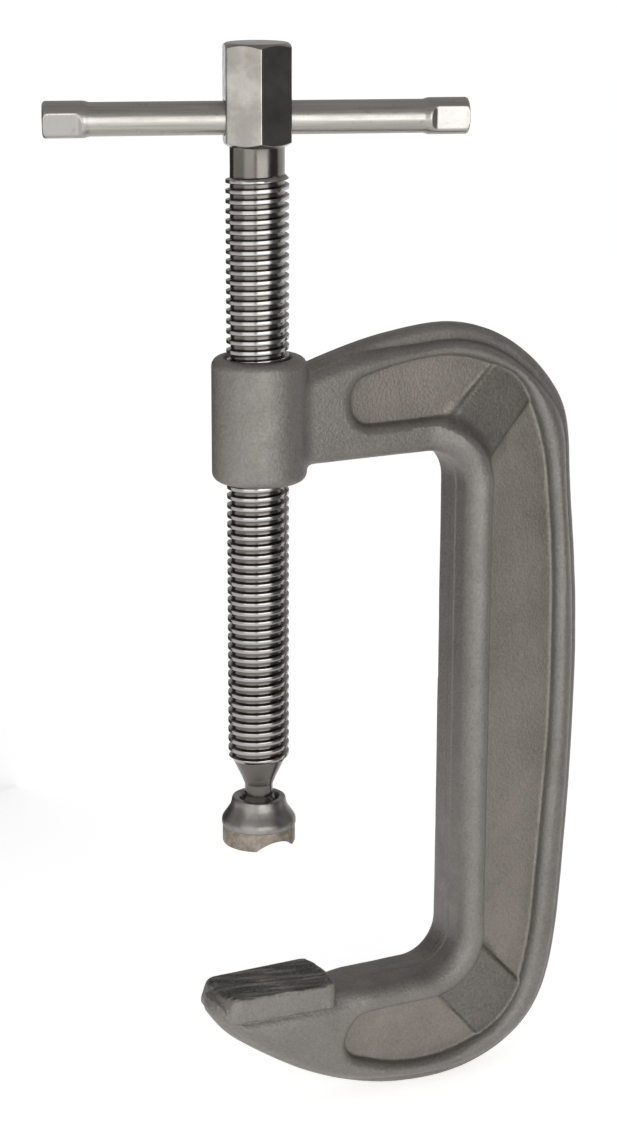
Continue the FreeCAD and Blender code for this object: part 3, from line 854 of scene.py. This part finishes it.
def look(azimuth, pitch, roll):
    """Camera rotation that looks along an azimuth from +Y towards +X, down by pitch."""
    a, p, r = math.radians(azimuth), math.radians(pitch), math.radians(roll)
    ahead = Vector((math.sin(a) * math.cos(p), math.cos(a) * math.cos(p), -math.sin(p)))
    right = Vector((math.cos(a), -math.sin(a), 0))
    up = right.cross(ahead)
    right, up = right * math.cos(r) + up * math.sin(r), up * math.cos(r) - right * math.sin(r)
    return Matrix((right, up, -ahead)).transposed()


camera = bpy.data.objects.new("camera", bpy.data.cameras.new("camera"))
camera.data.sensor_width = 36.0
camera.data.lens = CAMERA_LENS
camera.data.clip_start, camera.data.clip_end = 0.05, 20.0
camera.location = CAMERA_PLACE
camera.rotation_mode = "QUATERNION"
camera.rotation_quaternion = look(**CAMERA_LOOK).to_quaternion()
bpy.context.scene.collection.objects.link(camera)
bpy.context.scene.camera = camera


# ---- floor and light, in metres ----
CAMERA_AZIMUTH = -25.8
CENTRE = Vector((0.03, 0.0, 0.12))
FLOOR_Z, FLOOR_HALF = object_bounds()[0].z, 6


def stage_card(name, corners, colour, glow):
    """One flat sheet of the set: the floor, or a card that stands beside the clamp."""
    mesh = bpy.data.meshes.new(name)
    mesh.from_pydata(corners, [], [(0, 1, 2, 3)])
    obj = bpy.data.objects.new(name, mesh)
    bpy.context.scene.collection.objects.link(obj)
    material = bpy.data.materials.new(name)
    material.use_nodes = True
    shader = material.node_tree.nodes["Principled BSDF"]
    shader.inputs["Base Color"].default_value = (colour, colour, colour, 1)
    shader.inputs["Roughness"].default_value = 0.95
    shader.inputs["Emission Color"].default_value = (1, 1, 1, 1)
    shader.inputs["Emission Strength"].default_value = glow
    mesh.materials.append(material)
    return obj


def outward(azimuth):
    """Level direction at an azimuth from the camera's own, positive to the camera's right."""
    a = math.radians(CAMERA_AZIMUTH + azimuth)
    return Vector((math.sin(a), -math.cos(a), 0))


def area(name, azimuth, height, distance, width, tall, radiance):
    """A softbox that looks level at the clamp, with an even brightness."""
    out = outward(azimuth)
    light = bpy.data.lights.new(name, "AREA")
    light.shape = "RECTANGLE"
    light.size, light.size_y = width, tall
    light.energy = radiance * math.pi * width * tall
    obj = bpy.data.objects.new(name, light)
    obj.location = CENTRE + out * distance + Vector((0, 0, height))
    obj.rotation_mode = "QUATERNION"
    obj.rotation_quaternion = (-out).to_track_quat("-Z", "Y")
    bpy.context.scene.collection.objects.link(obj)


def flag(name, azimuth, distance, width, tall, colour):
    """A card that stands on the floor, square to its direction."""
    out = outward(azimuth)
    across = Vector((-out.y, out.x, 0)) * width / 2
    foot = Vector((CENTRE.x, CENTRE.y, FLOOR_Z)) + out * distance
    top = Vector((0, 0, tall))
    corners = [foot - across, foot + across, foot + across + top, foot - across + top]
    # a flag only shades and is mirrored: it never stands in front of a camera
    stage_card(name, corners, colour, 0.0).visible_camera = False


floor_corners = [(x * FLOOR_HALF, y * FLOOR_HALF, FLOOR_Z) for x, y in ((-1, -1), (1, -1), (1, 1), (-1, 1))]
stage_card("floor", floor_corners, colour=0.85, glow=0.63)
flag("dark_flag", azimuth=70, distance=0.34, width=0.30, tall=0.50, colour=0.19)
flag("left_flag", azimuth=-134, distance=0.30, width=0.24, tall=0.34, colour=0.05)
area("left", azimuth=-35, height=0.12, distance=0.62, width=0.46, tall=0.50, radiance=1.2)
area("right", azimuth=20, height=0.10, distance=1.05, width=0.88, tall=0.76, radiance=2.7)
area("far_right", azimuth=125, height=0.06, distance=0.60, width=0.40, tall=0.50, radiance=0.30)
world = bpy.data.worlds.new("studio")
bpy.context.scene.world = world
world.use_nodes = True
world.node_tree.nodes["Background"].inputs["Color"].default_value = (1, 1, 1, 1)
world.node_tree.nodes["Background"].inputs["Strength"].default_value = 0.45
bpy.context.scene.view_settings.view_transform = "Standard"
